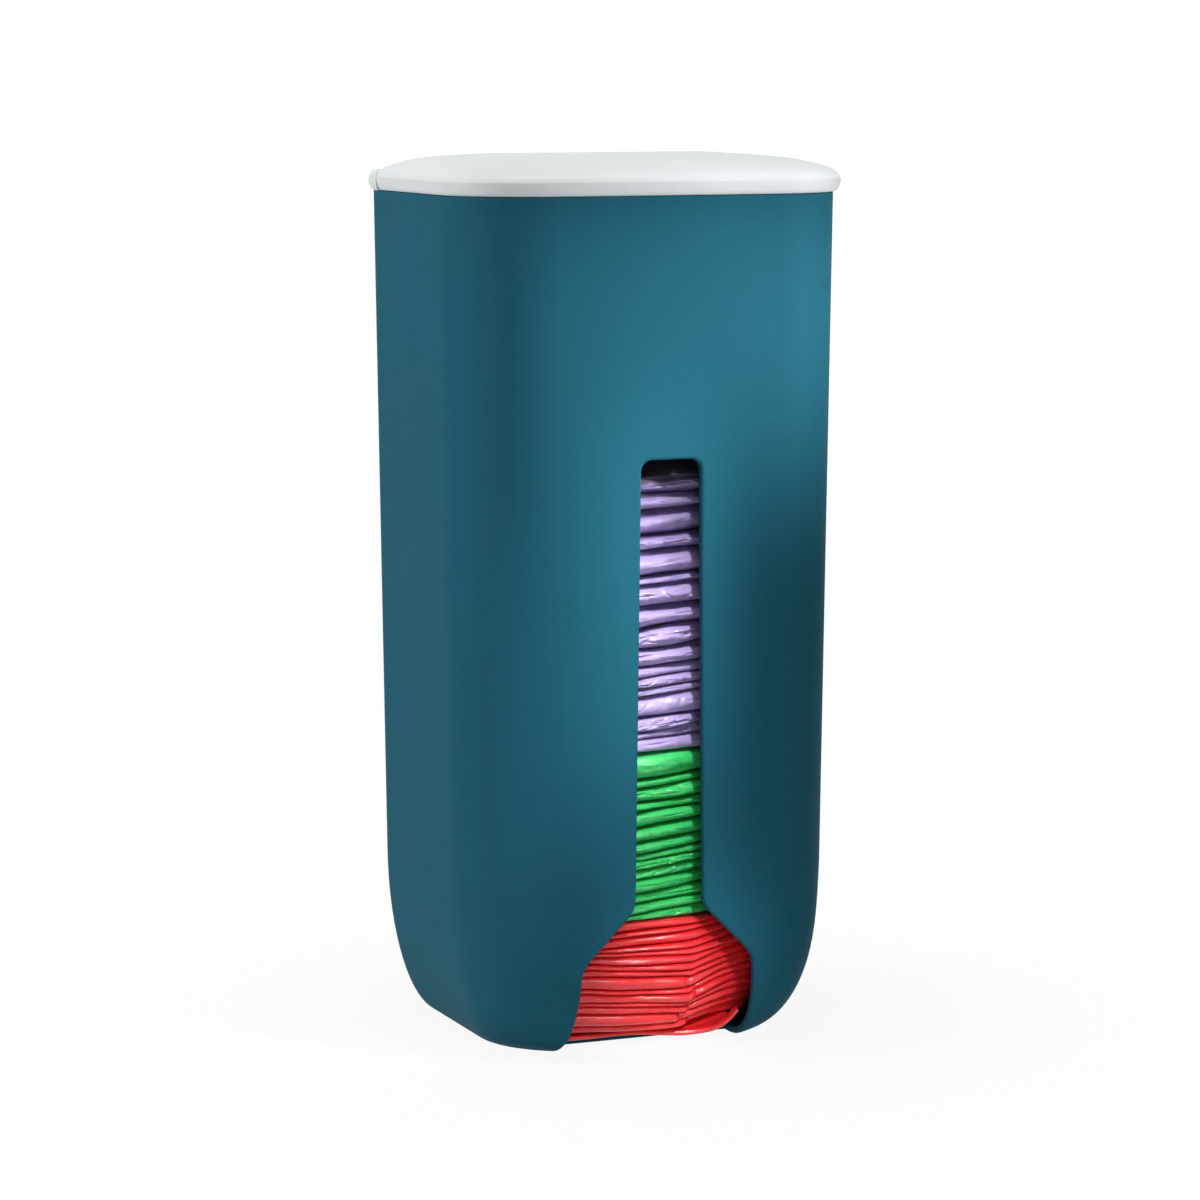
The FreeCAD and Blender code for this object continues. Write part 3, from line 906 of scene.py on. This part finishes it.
class BAGBOX_OT_stage(bpy.types.Operator):
    """Set up the floor, the light and the camera"""

    bl_idname = "bag_box.stage"
    bl_label = "Stage"

    def execute(self, context):
        stage = context.scene.bag_box_stage
        self.floor(stage)
        self.surround(context.scene, stage)
        aim = Vector(stage.aim)
        panel = aim + Vector((-0.047, -0.041, -0.021))
        shoulder = aim + Vector((0.011, -0.041, 0.077))
        slot = aim + Vector((-0.003, -0.037, -0.006))
        mouth = aim + Vector((0.006, -0.032, -0.096))
        self.lamp("side_lamp", stage.side_power, aim, degrees=(-99.0, 24.0), distance=0.5, size=0.25)
        self.lamp("top_lamp", stage.top_power, aim, degrees=(-10.0, 80.0), distance=0.9, size=0.5)
        self.lamp("front_lamp", stage.front_power, aim, degrees=(-14.0, 3.0), distance=0.9, size=0.4)
        self.lamp(
            "panel_spot", stage.panel_power, panel, degrees=(40.0, 45.0), distance=0.4, size=0.05, beam=14.5
        )
        self.lamp(
            "shoulder_spot", stage.shoulder_power, shoulder, degrees=(52.0, 11.0), distance=0.41, size=0.05,
            beam=17.0,
        )
        self.lamp(
            "slot_spot", stage.slot_power, slot, degrees=(-3.0, 58.0), distance=0.6, size=0.04, beam=8.0,
            width=0.36,
        )
        self.lamp(
            "mouth_spot", stage.mouth_power, mouth, degrees=(0.0, 42.0), distance=0.5, size=0.03, beam=5.9
        )
        self.camera(context.scene, stage, aim)
        context.scene.view_settings.view_transform = "Standard"
        return {"FINISHED"}

    @staticmethod
    def direction(azimuth, elevation):
        """From the object towards a place at these angles. Azimuth 0 is the front."""
        level = math.cos(elevation)
        return Vector((math.sin(azimuth) * level, -math.cos(azimuth) * level, math.sin(elevation)))

    @staticmethod
    def seen_directly(finish):
        """1 for what the camera sees, straight or in a gloss or glass, and 0 for light on the object."""
        seen = [
            finish.node("ShaderNodeLightPath", output=name)
            for name in ("Is Camera Ray", "Is Glossy Ray", "Is Transmission Ray")
        ]
        either = finish.node("ShaderNodeMath", {"operation": "MAXIMUM"}, {0: seen[0], 1: seen[1]})
        return finish.node("ShaderNodeMath", {"operation": "MAXIMUM"}, {0: either, 1: seen[2]})

    def floor(self, stage):
        """Pale disc that fades into the white surround, so that only the shadow shows."""
        start_piece()
        bpy.ops.mesh.primitive_circle_add(vertices=96, radius=2.5, fill_type="NGON")
        ground = bpy.context.object
        ground.name = "ground"
        finish = Finish(bpy.data.materials.new("pale_ground"))
        matt = finish.node("ShaderNodeBsdfDiffuse", None, {"Color": rgba(stage.ground)})
        white = finish.node("ShaderNodeEmission", None, {"Color": rgba(WHITE), "Strength": 1.0})
        radius = finish.node(
            "ShaderNodeVectorMath", {"operation": "LENGTH"}, {0: finish.place()}, output="Value"
        )
        far = finish.node("ShaderNodeMapRange", {"interpolation_type": "SMOOTHSTEP"}, {
            "Value": radius, "From Min": 0.05, "From Max": 0.22, "To Min": 0.0, "To Max": 1.0,
        })
        shown = (SHADOW_FLOOR + (1.0 - SHADOW_FLOOR) * far) * self.seen_directly(finish)
        mixed = finish.node("ShaderNodeMixShader", None, {0: shown, 1: matt, 2: white})
        ground.data.materials.append(finish.surface(mixed))

    def surround(self, scene, stage):
        """Even studio light that shows as plain white."""
        world = bpy.data.worlds.new("studio")
        scene.world = world
        finish = Finish(world)
        level = stage.surround + (1.0 - stage.surround) * self.seen_directly(finish)
        light = finish.node("ShaderNodeBackground", None, {"Color": rgba(WHITE), "Strength": level})
        finish.node("ShaderNodeOutputWorld", None, {"Surface": light})

    def lamp(self, name, power, aim, degrees, distance, size, beam=None, width=1.0):
        """A round soft lamp that looks at aim, or a spot that fades to its edge, narrowed by width."""
        away = self.direction(*map(math.radians, degrees))
        bpy.ops.object.light_add(type="SPOT" if beam else "AREA", location=aim + away * distance)
        lamp = bpy.context.object
        lamp.name = name
        lamp.rotation_euler = (-away).to_track_quat("-Z", "Y").to_euler()
        lamp.data.energy = power
        if beam:
            lamp.data.spot_size = math.radians(beam)
            lamp.data.spot_blend = 1.0
            lamp.scale.x = width
            lamp.data.shadow_soft_size = size / 2.0
        else:
            lamp.data.shape = "DISK"
            lamp.data.size = size

    def camera(self, scene, stage, aim):
        away = self.direction(stage.azimuth, stage.elevation)
        bpy.ops.object.camera_add(location=aim + away * stage.distance)
        camera = bpy.context.object
        camera.name = "camera"
        camera.rotation_euler = (-away).to_track_quat("-Z", "Y").to_euler()
        camera.data.sensor_width = SENSOR
        camera.data.lens = stage.lens
        camera.data.shift_x, camera.data.shift_y = stage.shift
        scene.camera = camera


class BAGBOX_PT_sidebar(bpy.types.Panel):
    """Steps that dress the bag box, in order"""

    bl_label = "Bag Box"
    bl_idname = "BAGBOX_PT_sidebar"
    bl_space_type = "VIEW_3D"
    bl_region_type = "UI"
    bl_category = "Bag Box"

    def draw(self, context):
        for step in STEPS:
            self.layout.operator(step.bl_idname)
        for name in SETTINGS:
            settings = getattr(context.scene, name)
            column = self.layout.column()
            for field in settings.__annotations__:
                column.prop(settings, field)


STEPS = (BAGBOX_OT_body, BAGBOX_OT_lid, BAGBOX_OT_pin, BAGBOX_OT_bags, BAGBOX_OT_stage)
SETTINGS = {
    "bag_box_plastic": PlasticSettings,
    "bag_box_film": FilmSettings,
    "bag_box_stage": StageSettings,
}


def register():
    for kind in (*SETTINGS.values(), *STEPS, BAGBOX_PT_sidebar):
        bpy.utils.register_class(kind)
    for name, kind in SETTINGS.items():
        setattr(bpy.types.Scene, name, bpy.props.PointerProperty(type=kind))


def unregister():
    for name in SETTINGS:
        delattr(bpy.types.Scene, name)
    for kind in (BAGBOX_PT_sidebar, *STEPS, *SETTINGS.values()):
        bpy.utils.unregister_class(kind)


def main():
    register()
    bpy.ops.bag_box.body()
    bpy.ops.bag_box.lid()
    bpy.ops.bag_box.pin()
    bpy.ops.bag_box.bags()
    bpy.ops.bag_box.stage()


if __name__ == "__main__":
    main()
